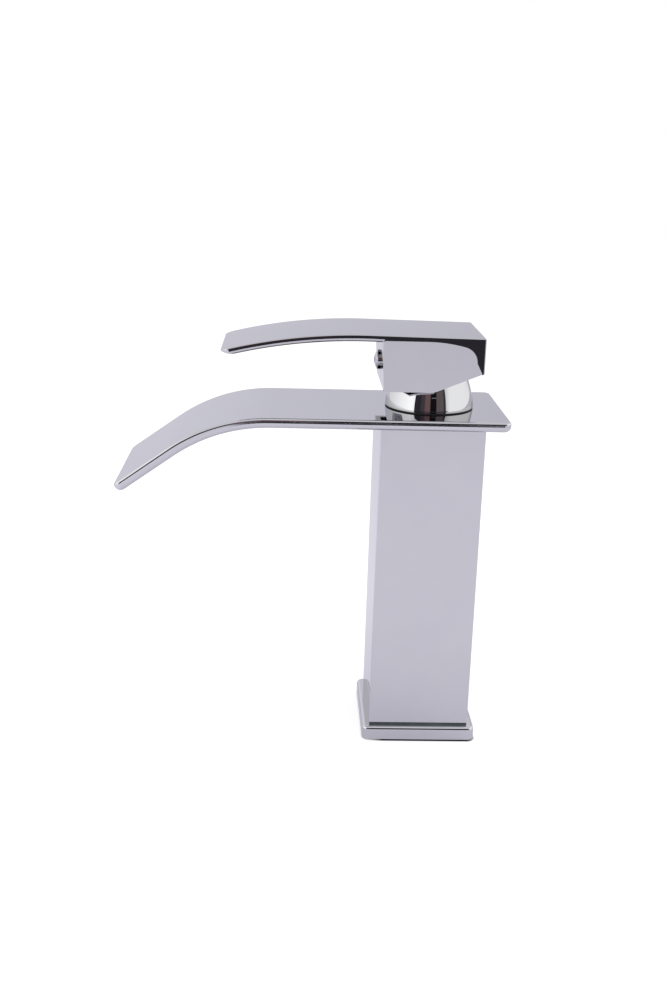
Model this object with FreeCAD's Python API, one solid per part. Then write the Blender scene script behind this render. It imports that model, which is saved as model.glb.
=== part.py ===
# Waterfall basin tap with a single lever, in millimetres.
# The origin is the centre of the foot's underside. +Z is up and the spout points to -Y.
import FreeCAD, Part
import math
import os

os.makedirs("parts", exist_ok=True)
V = FreeCAD.Vector
UP = V(0, 0, 1)
ACROSS = V(1, 0, 0)

# Fits between pieces
slip_fit = 0.2              # gap per side where one piece drops into another
thread_fit = 0.05           # gap per side between two threads, drawn as plain cylinders
running_fit = 0.05          # radial gap of a turning or swinging piece
disc_film = 0.02            # water film between the ceramic discs
seat_play = 0.1             # end play of the turret and the slider
swing_fit = 0.1             # gap per side of what swings or slides inside the turret
heel_fit = 0.4              # gap under the stem's round heel
flange_fit = 0.15           # radial gap of the turret's flange
pocket_fit = 0.075          # gap beside the stem's ball in the slider
pocket_stroke_fit = 0.15    # gap before and behind it, as the ball swings in an arc

# Whole tap
tap_height = 180.7          # from the deck to the lever's crest; the column is cut to suit

# Foot and column
foot_width = 50.0
foot_height = 6.4
foot_corner_radius = 3.0
foot_top_round = 1.5
foot_bottom_round = 0.5
foot_ledge = 2.8            # metal of the foot under the column's wall
collar_height = 3.0         # spigot of the foot inside the column
column_width = 44.0
column_wall = 2.0
column_corner_radius = 0.4

# Brass block inside the foot
block_flange_inset = 4.0    # from the foot's side
block_flange_thickness = 2.4
block_width = 35.6
block_height = 10.4
stud_hole_radius = 3.4      # tapping size of M8
stud_offset = 12.6          # from the column's axis, towards the back
hose_way_radius = 6.3

# Gasket in the foot's underside
gasket_width = 1.6
gasket_thickness = 1.2
gasket_inset = 1.3          # from the foot's side

# Long screws through the column, M4
tie_radius = 2.0
tie_head_radius = 3.5
tie_head_height = 4.0
tie_key_radius = 1.5
tie_offset = 13.0           # of each screw from the column's axis, along X and along Y
tie_thread_depth = 4.6

# Spout plate: a tray and a cover of sheet, with the water between them
spout_width = 61.8
spout_back = 31.0           # from the column's axis to the plate's back edge
spout_bend_start = 67.5     # from the column's axis to where the plate starts to fall
spout_bend_radius = 72.0
spout_bend_angle = 35.5
spout_tip_length = 27.6     # straight length after the bend
spout_thickness = 4.4
spout_sheet = 1.2
spout_side_wall = 2.6
spout_corner_radius = 3.0
spout_top_round = 1.1
spout_bottom_round = 2.5
spout_land_radius = 19.5    # solid land round the neck's back half
rib_width = 1.2
rib_count = 4
rib_spacing = 11.0
rib_start = 42.0            # from the column's axis
rib_end = 112.0

# Valve body
neck_radius = 15.0
neck_rise = 9.7             # of the neck above the plate
shoulder_height = 6.0       # square shoulder that carries the plate
bore_radius = 12.5
annulus_radius = 13.5       # water rises here, round the cartridge
pilot_depth = 1.5           # close-fitting bottom of the bore
window_angle = 120.0        # water window towards the spout
waterway_length = 9.0       # from the hose threads up to the cartridge's seat
hose_thread_radius = 4.5    # tapping size of M10x1
hose_thread_length = 11.0
hose_spacing = 15.0
hose_offset = 1.0           # of the hose threads from the column's axis, towards the front

# Seals round the neck
lower_seal_gap = 1.2        # metal between the neck and the groove
lower_seal_width = 1.5
lower_seal_height = 0.9
upper_seal_width = 0.8
upper_seal_height = 0.8

# Ring nut on the plate
spout_nut_radius = 16.7
spout_nut_height = 2.8
spout_nut_slots = 4
spout_nut_slot = 3.0

# Bell cap and its gasket
cap_gasket_height = 0.5
cap_gasket_inset = 0.3      # of the gasket's rim behind the bell's foot
bell_foot_radius = 18.9
bell_waist_radius = 17.78
bell_shoulder_radius = 15.4
bell_mouth_radius = 13.0
bell_shoulder_rise = 13.9   # of the shoulder above the plate
bell_top_round = 1.5
bell_foot_wall = 1.8

# Cartridge
ring_nut_height = 5.5
ring_nut_rise = 0.2         # of the nut above the neck's rim
ring_nut_slots = 6
ring_nut_slot = 2.4
housing_radius = 12.4
housing_neck_radius = 9.6
housing_neck_height = 4.7
housing_roof = 4.0
housing_bore_radius = 10.7
oring_drop = 2.2            # of the ring's middle below the housing's shoulder
oring_height = 1.5
oring_depth = 1.0
port_base_height = 5.0
port_plug_height = 1.2      # of the base's plug inside the housing
port_radius = 1.8
port_x = 3.8
port_y = 3.8
outlet_radius = 3.0
outlet_y = 5.0
outlet_height = 1.9         # of the side way under the housing
seal_wall = 0.9
seal_height = 1.0
fixed_disc_height = 4.0
disc_clearance = 0.3        # of the fixed disc in the housing
moving_disc_radius = 8.6
moving_disc_height = 3.58
disc_flat = 7.6             # half-width across the flats of the moving disc and the slider
mixing_half_width = 5.0
mixing_front = 1.6          # of the mixing pocket from the axis, tap closed
mixing_back = 6.6
mixing_depth = 1.8
mixing_corner = 1.7
key_radius = 1.0
key_height = 1.0
key_offset = 6.4
slider_height = 4.88
slider_floor = 0.9

# Turret, stem and pivot
turret_radius = 8.0
turret_flange_height = 3.8
turret_rise = 0.5           # of the turret above the housing
rail_width = 1.9
rail_drop = 4.4
rail_half_length = 4.4
pivot_rise = 2.5            # of the lever's pivot above the turret's flange
pin_radius = 1.5
pin_inset = 0.6             # of the pin's ends below the turret's side
lift_angle = 22.0           # of the lever, from closed to fully open
stem_width = 8.0
stem_corner = 0.8
stem_top_drop = 6.1         # of the stem's top below the lever's top
tail_radius = 1.5
ball_radius = 2.2
ball_depth = 1.5            # of the ball's middle below the slider's top

# Lever
lever_rise = 32.8           # of the lever's back edge above the plate
lever_width = 45.5
lever_back = 19.6           # from the column's axis to the lever's back
lever_back_slope = 0.72     # the blade rises from its back edge to its crest
lever_bend_start = 30.8     # of the crest from the column's axis
lever_bend_radius = 222.0
lever_bend_angle = 15.0
blade_thickness = 2.9
blade_top_round = 0.5
blade_bottom_round = 1.4
blade_nose_start = 6.6      # the underside rises from here to the tip
blade_nose_tilt = 3.0
blade_nose_radius = 13.0
blade_tip_corner = 4.0
lever_back_corner = 0.6
hub_front = 21.3            # from the column's axis to the foot of the hub's front face
hub_front_corner = 1.0
hub_front_draft = 3.5       # the front face leans forward towards the blade
hub_inner_corner = 2.8      # of the hollow's back corners
hub_gap = 9.9               # of the hub's underside above the plate
hub_wall = 2.0
hub_roof = 3.6
hub_rise_start = 0.6        # from the column's axis to where the underside starts to rise
hub_rise_angle = 22.6
hub_rise_round = 10.0
hub_side_draft = 4.0
hub_draft_drop = 1.7        # of the drafted sides' upper edge below the lever's back edge
relief_start = 4.0          # in front of the axis, where that edge starts to fall
relief_fall_radius = 61.8
relief_fall_angle = 14.3
relief_corner_radius = 6.8  # from the fall to the upright end
socket_radius = 6.6
socket_bottom = 16.7        # of the socket's mouth below the lever's top

# Grub screw and index button
grub_radius = 2.5
grub_length = 6.0
grub_key_radius = 1.25
button_drop = 13.3          # of the button's middle below the lever's top
button_radius = 4.15
button_height = 2.8
button_dome_radius = 7.0    # of the button's rounded front
spot_face_depth = 0.15      # of the button's flat seat in the leaning front, at its lower edge
button_spigot_radius = 2.7
button_spigot_length = 1.6
mark_radius = 1.7
mark_depth = 1.0            # at the middle of the rounded front
mark_gap = 0.15             # half the bar between the two marks

# Heights that follow from the sizes above
back_slope = math.radians(lever_back_slope)
slope_length = lever_back + lever_bend_start - lever_bend_radius * math.sin(back_slope)
blade_crest = slope_length * math.tan(back_slope)
blade_crest += lever_bend_radius * (1 - math.cos(back_slope))
column_length = tap_height - blade_crest - lever_rise - spout_thickness - foot_height
column_bottom = foot_height
spout_bottom = column_bottom + column_length
spout_top = spout_bottom + spout_thickness
neck_top = spout_top + neck_rise
shoulder_z = neck_top + ring_nut_rise - ring_nut_height
housing_top = shoulder_z + housing_neck_height
turret_stop = shoulder_z - housing_roof
flange_top = turret_stop - seat_play
flange_bottom = flange_top - turret_flange_height
slider_top = flange_bottom - seat_play
slider_bottom = slider_top - slider_height
moving_disc_bottom = slider_bottom - moving_disc_height
fixed_disc_top = moving_disc_bottom - disc_film
fixed_disc_bottom = fixed_disc_top - fixed_disc_height
seat_z = fixed_disc_bottom - port_base_height
pivot_z = turret_stop + pivot_rise
ball_z = slider_top - ball_depth
body_bottom = seat_z - waterway_length - hose_thread_length
lever_top = spout_top + lever_rise
hub_bottom = spout_top + hub_gap
index_z = lever_top - button_drop
hub_roof_z = lever_top - blade_top_round
button_seat_bottom = index_z - button_radius - slip_fit

# Other sizes that follow
column_inside = column_width - 2 * column_wall
block_flange_width = foot_width - 2 * block_flange_inset
disc_travel = (pivot_z - ball_z) * math.sin(math.radians(lift_angle))
disc_home_y = disc_travel / 2
hose_places = [V(side * hose_spacing / 2, -hose_offset, 0) for side in (-1, 1)]
tie_places = [V(side * tie_offset, side * tie_offset, 0) for side in (-1, 1)]
port_places = [V(side * port_x, -port_y, 0) for side in (-1, 1)]
outlet_place = V(0, outlet_y, 0)
nut_thread_radius = (bore_radius + neck_radius) / 2
hub_front_slope = math.tan(math.radians(hub_front_draft))
hub_lean = (hub_roof_z - hub_bottom) * hub_front_slope
hub_top_front = hub_front + hub_lean
button_seat = hub_front + (button_seat_bottom - hub_bottom) * hub_front_slope - spot_face_depth
AXIS = V(0, 0, 0)
BEYOND = 1.0                # how far a cut runs past the face that it opens


def block(x0, x1, y0, y1, z0, z1):
    """Box between two corners."""
    return Part.makeBox(x1 - x0, y1 - y0, z1 - z0, V(x0, y0, z0))


def rod(radius, z0, z1, place=AXIS):
    """Upright cylinder."""
    return Part.makeCylinder(radius, z1 - z0, V(place.x, place.y, z0), UP)


def ring(inner, outer, z0, z1, place=AXIS):
    """Upright tube."""
    return rod(outer, z0, z1, place).cut(rod(inner, z0, z1, place))


def rod_y(radius, y0, y1, z):
    """Cylinder along Y on the tap's middle plane."""
    return Part.makeCylinder(radius, y1 - y0, V(0, y0, z), V(0, 1, 0))


def rod_x(radius, half_length, z):
    """Cylinder along X, centred on the tap's axis."""
    return Part.makeCylinder(radius, 2 * half_length, V(-half_length, 0, z), ACROSS)


def hexagon(radius, z0, z1, place=AXIS):
    """Upright six-sided prism, for a key."""
    corners = [
        V(place.x + radius * math.cos(turn), place.y + radius * math.sin(turn), z0)
        for turn in (math.radians(60 * count) for count in range(7))
    ]
    return Part.Face(Part.makePolygon(corners)).extrude(V(0, 0, z1 - z0))


def rounded_wire(half_width, front, back, front_radius, back_radius, z):
    """Rectangle with round corners, from y = front to y = back."""
    corners = [
        (1, front + front_radius, front_radius),
        (1, back - back_radius, back_radius),
        (-1, back - back_radius, back_radius),
        (-1, front + front_radius, front_radius),
    ]
    arcs = []
    for quarter, (side, y, radius) in enumerate(corners):
        centre = V(side * (half_width - radius), y, z)
        points = []
        for share in (-1, -0.5, 0):
            turn = math.pi / 2 * (quarter + share)
            points.append(centre + V(radius * math.cos(turn), radius * math.sin(turn), 0))
        arcs.append(Part.Arc(*points).toShape())
    edges = []
    for count, arc in enumerate(arcs):
        following = arcs[(count + 1) % len(arcs)]
        edges += [arc, Part.makeLine(arc.lastVertex().Point, following.firstVertex().Point)]
    return Part.Wire(edges)


def rounded_block(width, radius, z0, z1):
    """Square prism with round upright corners."""
    wire = rounded_wire(width / 2, -width / 2, width / 2, radius, radius, z0)
    return Part.Face(wire).extrude(V(0, 0, z1 - z0))


def side_prism(edges, half_width):
    """Solid from an outline in the YZ plane, to both sides of the middle plane."""
    face = Part.Face(Part.Wire(edges))
    face.translate(V(-half_width, 0, 0))
    return face.extrude(V(2 * half_width, 0, 0))


def edges_of(shape, wanted):
    """Edges whose middle and both ends all pass the test."""
    chosen = []
    for edge in shape.Edges:
        middle = edge.valueAt((edge.FirstParameter + edge.LastParameter) / 2)
        points = [middle] + [vertex.Point for vertex in edge.Vertexes]
        if all(wanted(point) for point in points):
            chosen.append(edge)
    return chosen


class BentPlate:
    """Side profile of a plate: nearly level at the back, then an arc that falls to its tip."""

    def __init__(self, top, back, bend_start, radius, angle, tip_length, back_slope=0.0):
        self.top = top
        self.back = back
        self.bend = -bend_start
        self.radius = radius
        self.angle = math.radians(angle)
        self.tip_length = tip_length
        self.slope = math.radians(back_slope)

    def on_arc(self, depth, turn):
        """Point on the arc at a depth below the upper face; turn 0 is the highest."""
        reach = self.radius - depth
        return V(0, self.bend - reach * math.sin(turn),
                 self.top - self.radius + reach * math.cos(turn))

    def points(self, depth):
        """Back end, start, middle and end of the arc, and tip, at a depth below the upper face."""
        start = self.on_arc(depth, -self.slope)
        back = V(0, self.back, start.z - (self.back - start.y) * math.tan(self.slope))
        end = self.on_arc(depth, self.angle)
        along = V(0, -math.cos(self.angle), -math.sin(self.angle))
        return [back, start, self.on_arc(depth, (self.angle - self.slope) / 2), end,
                end + along * self.tip_length]

    def layer(self, upper, lower, half_width):
        """Solid between two depths below the upper face."""
        edges = []
        for depth in (upper, lower):
            back, start, middle, end, tip = self.points(depth)
            edges += [Part.makeLine(back, start), Part.Arc(start, middle, end).toShape()]
            if self.tip_length > 0:
                edges.append(Part.makeLine(end, tip))
        for near, far in zip(self.ends(upper), self.ends(lower)):
            edges.append(Part.makeLine(near, far))
        return side_prism(Part.sortEdges(edges)[0], half_width)

    def ends(self, depth):
        """The back end and the tip at one depth."""
        points = self.points(depth)
        return points[0], points[-1]

    def depth(self, point):
        """How deep a point lies below the upper face."""
        centre = V(0, self.bend, self.top - self.radius)
        turn = math.atan2(centre.y - point.y, point.z - centre.z)
        if -self.slope < turn <= self.angle:
            return self.radius - math.hypot(point.y - centre.y, point.z - centre.z)
        straight = self.angle if turn > self.angle else -self.slope
        outwards = V(0, -math.sin(straight), math.cos(straight))
        return self.radius - (V(0, point.y, point.z) - centre).dot(outwards)

    def on_end(self, point):
        """Whether a point lies on the back end or on the tip's end face."""
        tip = self.points(0)[-1]
        along = V(0, -math.cos(self.angle), -math.sin(self.angle))
        at_tip = abs((point - V(0, tip.y, tip.z)).dot(along)) < 1e-4
        return at_tip or abs(point.y - self.back) < 1e-4

    def plate(self, thickness, width, back_corner, tip_corner, top_round, bottom_round):
        """The whole plate with round corners and round rims."""
        solid = self.layer(0, thickness, width / 2)
        for radius, at_back in ((back_corner, True), (tip_corner, False)):
            corners = [
                edge for edge in solid.Edges
                if all(self.on_end(vertex.Point) for vertex in edge.Vertexes)
                and abs(abs(edge.CenterOfMass.x) - width / 2) < 1e-4
                and (edge.CenterOfMass.y > 0) == at_back
            ]
            solid = solid.makeFillet(radius, corners)
        for depth, radius in ((0, top_round), (thickness, bottom_round)):
            rim = [
                edge for edge in edges_of(solid, lambda point: abs(self.depth(point) - depth) < 1e-4)
                if self.on_end(edge.CenterOfMass) or abs(edge.CenterOfMass.x) > 1e-4
            ]
            solid = solid.makeFillet(radius, rim)
        return solid


def make_foot():
    """Cast foot: outer flange, recess for the brass block, collar and gasket groove."""
    body = rounded_block(foot_width, foot_corner_radius, 0, foot_height)
    rim = edges_of(body, lambda point: abs(point.z - foot_height) < 1e-4)
    body = body.makeFillet(foot_top_round, rim)
    lower_rim = edges_of(body, lambda point: abs(point.z) < 1e-4)
    body = body.makeFillet(foot_bottom_round, lower_rim)
    collar_width = column_inside - 2 * slip_fit
    collar = rounded_block(collar_width, column_corner_radius, foot_height - foot_ledge,
                           foot_height + collar_height)
    body = body.fuse(collar)
    recess = rounded_block(block_flange_width + 2 * slip_fit, column_corner_radius,
                           0, foot_height - foot_ledge)
    opening = rounded_block(block_width + 2 * slip_fit, column_corner_radius,
                            0, foot_height + collar_height)
    return body.cut(Part.makeCompound([recess, opening])).cut(gasket_ring()).removeSplitter()


def gasket_ring():
    """Square rubber ring, flush with the foot's underside."""
    outer_width = foot_width - 2 * gasket_inset
    outer = rounded_block(outer_width, foot_corner_radius - gasket_inset, 0, gasket_thickness)
    inner = rounded_block(outer_width - 2 * gasket_width, column_corner_radius / 2,
                          0, gasket_thickness)
    return outer.cut(inner)


def make_foot_block():
    """Brass block: the stud's thread, two hose ways and seats for the long screws."""
    ledge_z = foot_height - foot_ledge
    flange = rounded_block(block_flange_width, column_corner_radius,
                           ledge_z - block_flange_thickness, ledge_z)
    body = flange.fuse(rounded_block(block_width, column_corner_radius,
                                     ledge_z, ledge_z + block_height))
    top = ledge_z + block_height
    holes = [rod(stud_hole_radius, 0, top, V(0, stud_offset, 0))]
    holes += [rod(hose_way_radius, 0, top, place) for place in hose_places]
    for place in tie_places:
        holes.append(rod(tie_radius + thread_fit, 0, top, place))
        holes.append(rod(tie_head_radius + slip_fit, 0, tie_head_seat(), place))
    return body.cut(Part.makeCompound(holes)).removeSplitter()


def tie_head_seat():
    """Height at which the heads of the long screws bear on the brass block."""
    return foot_height - foot_ledge - block_flange_thickness + tie_head_height + slip_fit


def make_tie_screws():
    """Two long screws with socket heads, from the foot up into the valve body."""
    seat = tie_head_seat()
    screws = []
    for place in tie_places:
        head = rod(tie_head_radius, seat - tie_head_height, seat, place)
        key = hexagon(tie_key_radius, seat - tie_head_height, seat - tie_head_height / 2, place)
        top = spout_bottom - shoulder_height + tie_thread_depth
        screws.append(head.fuse(rod(tie_radius, seat, top, place)).cut(key))
    return Part.makeCompound(screws)


def make_column():
    """Square drawn tube."""
    outer = rounded_block(column_width, column_corner_radius, column_bottom, spout_bottom)
    inner = rounded_block(column_inside, column_corner_radius, column_bottom, spout_bottom)
    return outer.cut(inner)


def sector(radius, angle, z0, z1):
    """Part of an upright disc, symmetric about the spout's direction."""
    start = -90 - angle / 2
    slice_ = Part.makeCylinder(radius, z1 - z0, V(0, 0, z0), UP, angle)
    slice_.rotate(V(0, 0, 0), UP, start)
    return slice_


def make_valve_body():
    """Brass body: neck through the plate, square shoulder under it, hose threads below."""
    body = rod(neck_radius, body_bottom, neck_top)
    shoulder = rounded_block(column_inside - 2 * slip_fit, column_corner_radius,
                             spout_bottom - shoulder_height, spout_bottom)
    body = body.fuse(shoulder)
    oring_land = shoulder_z - housing_roof + seat_play
    cuts = [
        rod(bore_radius, seat_z, neck_top + BEYOND),
        rod(annulus_radius, seat_z + pilot_depth, oring_land),
        rod(nut_thread_radius, shoulder_z, neck_top + BEYOND),
        sector(neck_radius + BEYOND, window_angle, spout_bottom + spout_sheet,
               spout_top - spout_sheet),
        ring(neck_radius + lower_seal_gap, neck_radius + lower_seal_gap + lower_seal_width,
             spout_bottom - lower_seal_height, spout_bottom),
    ]
    for port, hose in zip(port_places, hose_places):
        thread_top = body_bottom + hose_thread_length
        cuts.append(rod(port_radius, thread_top - 2 * BEYOND, seat_z, port))
        cuts.append(rod(hose_thread_radius, body_bottom, thread_top, hose))
    for place in tie_places:
        bottom = spout_bottom - shoulder_height
        cuts.append(rod(tie_radius + thread_fit, bottom, bottom + tie_thread_depth + slip_fit, place))
    for cut in cuts:
        body = body.cut(cut)
    return body.removeSplitter()


def make_neck_seals():
    """Rubber rings under the tray and over the cover."""
    lower_inner = neck_radius + lower_seal_gap
    lower = ring(lower_inner, lower_inner + lower_seal_width,
                 spout_bottom - lower_seal_height, spout_bottom)
    upper = ring(neck_radius, neck_radius + thread_fit + upper_seal_width,
                 spout_top, spout_top + upper_seal_height)
    return lower, upper


def make_spout_nut():
    """Ring nut that clamps the plate on the valve body."""
    nut = ring(neck_radius + thread_fit, spout_nut_radius, spout_top, spout_top + spout_nut_height)
    nut = nut.cut(rod(neck_radius + thread_fit + upper_seal_width, spout_top,
                      spout_top + upper_seal_height))
    top = spout_top + spout_nut_height
    return nut.cut(rim_slots(spout_nut_slots, spout_nut_slot, spout_nut_radius, top))


def rim_slots(count, width, radius, top):
    """Slots across a ring nut's upper rim, for a pin spanner."""
    slots = []
    for turn in range(count):
        slot = block(0, radius + BEYOND, -width / 2, width / 2, top - width / 2, top + BEYOND)
        slot.rotate(V(0, 0, 0), UP, 360 / count * turn)
        slots.append(slot)
    return Part.makeCompound(slots)


def make_spout():
    """Tray with side walls, land and ribs, and the cover that closes it."""
    profile = BentPlate(spout_top, spout_back, spout_bend_start, spout_bend_radius,
                        spout_bend_angle, spout_tip_length)
    whole = profile.plate(spout_thickness, spout_width, spout_corner_radius,
                          spout_corner_radius, spout_top_round, spout_bottom_round)
    whole = whole.cut(rod(neck_radius + thread_fit, spout_bottom - BEYOND, spout_top + BEYOND))
    cover = whole.common(profile.layer(0, spout_sheet, spout_width))
    tray = whole.cut(profile.layer(-BEYOND, spout_sheet, spout_width))

    floor_depth = spout_thickness - spout_sheet
    half_way = spout_width / 2 - spout_side_wall
    longer = BentPlate(spout_top, spout_back - spout_side_wall, spout_bend_start,
                       spout_bend_radius, spout_bend_angle, spout_tip_length + BEYOND)
    water = longer.layer(spout_sheet, floor_depth, half_way)
    land = rod(spout_land_radius, spout_bottom, spout_top)
    land = land.cut(sector(spout_land_radius + BEYOND, window_angle, spout_bottom, spout_top))
    ribs = longer.layer(spout_sheet, floor_depth, half_way).common(rib_strips())
    tray = tray.cut(water.cut(land).cut(ribs))
    return tray.removeSplitter(), cover.removeSplitter()


def rib_strips():
    """Upright strips that mark where the ribs stand between tray and cover."""
    strips = []
    for count in range(rib_count):
        x = (count - (rib_count - 1) / 2) * rib_spacing
        strips.append(block(x - rib_width / 2, x + rib_width / 2, -rib_end, -rib_start,
                            0, spout_top))
    return Part.makeCompound(strips)


def make_cap_gasket():
    """Thin black ring between the bell's foot and the plate."""
    outer = bell_foot_radius - cap_gasket_inset
    return ring(bell_foot_radius - bell_foot_wall, outer, spout_top, spout_top + cap_gasket_height)


def make_bell():
    """Turned cap over the cartridge, screwed on the neck."""
    foot = spout_top + cap_gasket_height
    shoulder = spout_top + bell_shoulder_rise
    thread = neck_radius + thread_fit
    counterbore_top = spout_top + spout_nut_height + slip_fit
    ceiling = neck_top + ring_nut_rise + slip_fit
    half = (foot + shoulder) / 2
    foot_inner = bell_foot_radius - bell_foot_wall
    wall_end = V(bell_shoulder_radius, 0, shoulder)
    wall = Part.Arc(V(bell_foot_radius, 0, foot), V(bell_waist_radius, 0, half), wall_end).toShape()
    rising = wall.tangentAt(wall.LastParameter)
    outwards = V(rising.z, 0, -rising.x)
    centre = wall_end - outwards * bell_top_round
    half_way = (outwards + UP).normalize()
    rim = centre + UP * bell_top_round
    top = rim.z
    edges = [wall, Part.Arc(wall_end, centre + half_way * bell_top_round, rim).toShape()]
    corners = [
        rim, V(bell_mouth_radius, 0, top), V(bell_mouth_radius, 0, ceiling),
        V(thread, 0, ceiling), V(thread, 0, counterbore_top), V(foot_inner, 0, counterbore_top),
        V(foot_inner, 0, foot), V(bell_foot_radius, 0, foot),
    ]
    edges += [Part.makeLine(a, b) for a, b in zip(corners, corners[1:])]
    return Part.Face(Part.Wire(edges)).revolve(V(0, 0, 0), UP, 360)


def make_cartridge_base():
    """Plastic base with two inlet ports, and an outlet that leaves at the side."""
    plug_bottom = fixed_disc_bottom - port_plug_height
    base = rod(housing_radius, seat_z, plug_bottom)
    base = base.fuse(rod(housing_bore_radius - running_fit, plug_bottom, fixed_disc_bottom))
    way_bottom = plug_bottom - outlet_height
    cuts = [rod(port_radius, seat_z, fixed_disc_bottom, place) for place in port_places]
    cuts += inlet_seal_rings() + disc_seal_rings()
    cuts.append(rod(outlet_radius, way_bottom, fixed_disc_bottom, outlet_place))
    cuts.append(block(-outlet_radius, outlet_radius, outlet_y, housing_radius + BEYOND,
                      way_bottom, plug_bottom))
    for cut in cuts:
        base = base.cut(cut)
    return base.removeSplitter()


def seal_ring(hole_radius, bottom, place):
    """Rubber ring round a hole of the cartridge's base."""
    return ring(hole_radius, hole_radius + seal_wall, bottom, bottom + seal_height, place)


def inlet_seal_rings():
    """The two rings under the base."""
    return [seal_ring(port_radius, seat_z, place) for place in port_places]


def disc_seal_rings():
    """The three rings under the fixed disc."""
    bottom = fixed_disc_bottom - seal_height
    rings = [seal_ring(port_radius, bottom, place) for place in port_places]
    rings.append(seal_ring(outlet_radius, bottom, outlet_place))
    return rings


def make_fixed_disc():
    """Ceramic disc with the two inlets and the outlet."""
    disc = rod(housing_bore_radius - disc_clearance, fixed_disc_bottom, fixed_disc_top)
    holes = [rod(port_radius, fixed_disc_bottom, fixed_disc_top, place) for place in port_places]
    holes.append(rod(outlet_radius, fixed_disc_bottom, fixed_disc_top, outlet_place))
    return disc.cut(Part.makeCompound(holes))


def sliding_blank(z0, z1):
    """Round blank with two flats, where the slider and its disc stand when the tap is closed."""
    blank = rod(moving_disc_radius, z0, z1, V(0, disc_home_y, 0))
    half = moving_disc_radius + disc_travel
    return blank.common(block(-disc_flat, disc_flat, -half, half + disc_home_y, z0, z1))


def key_pegs(radius):
    """Two pegs that carry the moving disc along with the slider."""
    pegs = []
    for side in (-1, 1):
        place = V(side * key_offset, disc_home_y, 0)
        pegs.append(rod(radius, slider_bottom - key_height, slider_bottom, place))
    return Part.makeCompound(pegs)


def make_moving_disc():
    """Ceramic disc with the mixing pocket in its underside."""
    disc = sliding_blank(moving_disc_bottom, slider_bottom)
    pocket = rounded_wire(mixing_half_width, -mixing_front, mixing_back, mixing_corner,
                          mixing_corner, moving_disc_bottom)
    disc = disc.cut(Part.Face(pocket).extrude(V(0, 0, mixing_depth)))
    return disc.cut(key_pegs(key_radius + running_fit))


def make_slider():
    """Plastic slider with the pocket for the stem's ball."""
    slider = sliding_blank(slider_bottom, slider_top).fuse(key_pegs(key_radius))
    across = ball_radius + pocket_fit
    along = ball_radius + pocket_stroke_fit
    return slider.cut(block(-across, across, -along, along, slider_bottom + slider_floor,
                            slider_top))


def make_turret():
    """Turret with two rails below, that guide the slider, and two cheeks above for the pin."""
    flange_radius = housing_bore_radius - flange_fit
    turret = rod(flange_radius, flange_bottom, flange_top)
    turret = turret.fuse(rod(turret_radius, flange_top, housing_top + turret_rise))
    inner = disc_flat + swing_fit
    for side in (-1, 1):
        near, far = sorted((side * inner, side * (inner + rail_width)))
        rail = block(near, far, -rail_half_length, rail_half_length,
                     flange_bottom - rail_drop, flange_bottom)
        turret = turret.fuse(rail.common(rod(flange_radius, 0, flange_top)))
    half = stem_width / 2 + swing_fit
    lowest = pivot_z - stem_width / 2 - heel_fit
    ball_way = ball_radius + swing_fit
    front = disc_travel + ball_way + slip_fit
    cuts = [
        block(-half, half, -turret_radius - BEYOND, turret_radius + BEYOND, flange_top,
              housing_top + turret_rise),
        block(-half, half, -half - slip_fit, half + slip_fit, lowest, flange_top),
        block(-ball_way, ball_way, -front, ball_way, flange_bottom, lowest),
        rod_x(pin_radius, turret_radius, pivot_z),
    ]
    for cut in cuts:
        turret = turret.cut(cut)
    return turret.removeSplitter()


def make_stem():
    """Stem: square above the pivot, with a thin tail and a ball below it."""
    half = stem_width / 2
    top = lever_top - stem_top_drop
    shank = block(-half, half, -half, half, pivot_z, top)
    upright = [edge for edge in shank.Edges if abs(edge.tangentAt(edge.FirstParameter).z) > 0.9]
    shank = shank.makeFillet(stem_corner, upright)
    stem = shank.fuse(rod_x(half, half, pivot_z))
    stem = stem.fuse(rod(tail_radius, ball_z, pivot_z))
    stem = stem.fuse(Part.makeSphere(ball_radius, V(0, 0, ball_z)))
    return stem.cut(rod_x(pin_radius + running_fit, half + BEYOND, pivot_z)).removeSplitter()


def make_housing():
    """Plastic housing round the discs, with a neck for the turret."""
    bottom = fixed_disc_bottom - port_plug_height
    housing = rod(housing_radius, bottom, shoulder_z)
    housing = housing.fuse(rod(housing_neck_radius, shoulder_z, housing_top))
    housing = housing.cut(rod(housing_bore_radius, bottom, turret_stop))
    housing = housing.cut(rod(turret_radius + running_fit, turret_stop, housing_top))
    return housing.cut(make_oring()).removeSplitter()


def make_oring():
    """Rubber ring in the housing's groove."""
    middle = shoulder_z - oring_drop
    return ring(housing_radius - oring_depth, housing_radius + running_fit,
                middle - oring_height / 2, middle + oring_height / 2)


def make_cartridge_nut():
    """Ring nut that presses the cartridge on its seat."""
    top = neck_top + ring_nut_rise
    nut = ring(housing_neck_radius + slip_fit, nut_thread_radius - thread_fit, shoulder_z, top)
    return nut.cut(rim_slots(ring_nut_slots, ring_nut_slot, nut_thread_radius, top))


def hub_profile(front, back, top):
    """Side outline of the hub: level at the front, rising towards the back."""
    slope = math.radians(hub_rise_angle)
    reach = hub_rise_round * math.tan(slope / 2)
    corner = V(0, -hub_rise_start, hub_bottom)
    start = corner + V(0, -reach, 0)
    end = corner + V(0, reach * math.cos(slope), reach * math.sin(slope))
    chord = (start + end) * 0.5
    to_centre = V(0, start.y, hub_bottom + hub_rise_round) - chord
    middle = chord - to_centre * ((hub_rise_round - to_centre.Length) / to_centre.Length)
    back_z = hub_bottom + (back + hub_rise_start) * math.tan(slope)
    corners = [end, V(0, back, back_z), V(0, back, top), V(0, front, top),
               V(0, front, hub_bottom), start]
    edges = [Part.Arc(start, middle, end).toShape()]
    return edges + [Part.makeLine(a, b) for a, b in zip(corners, corners[1:])]


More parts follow.
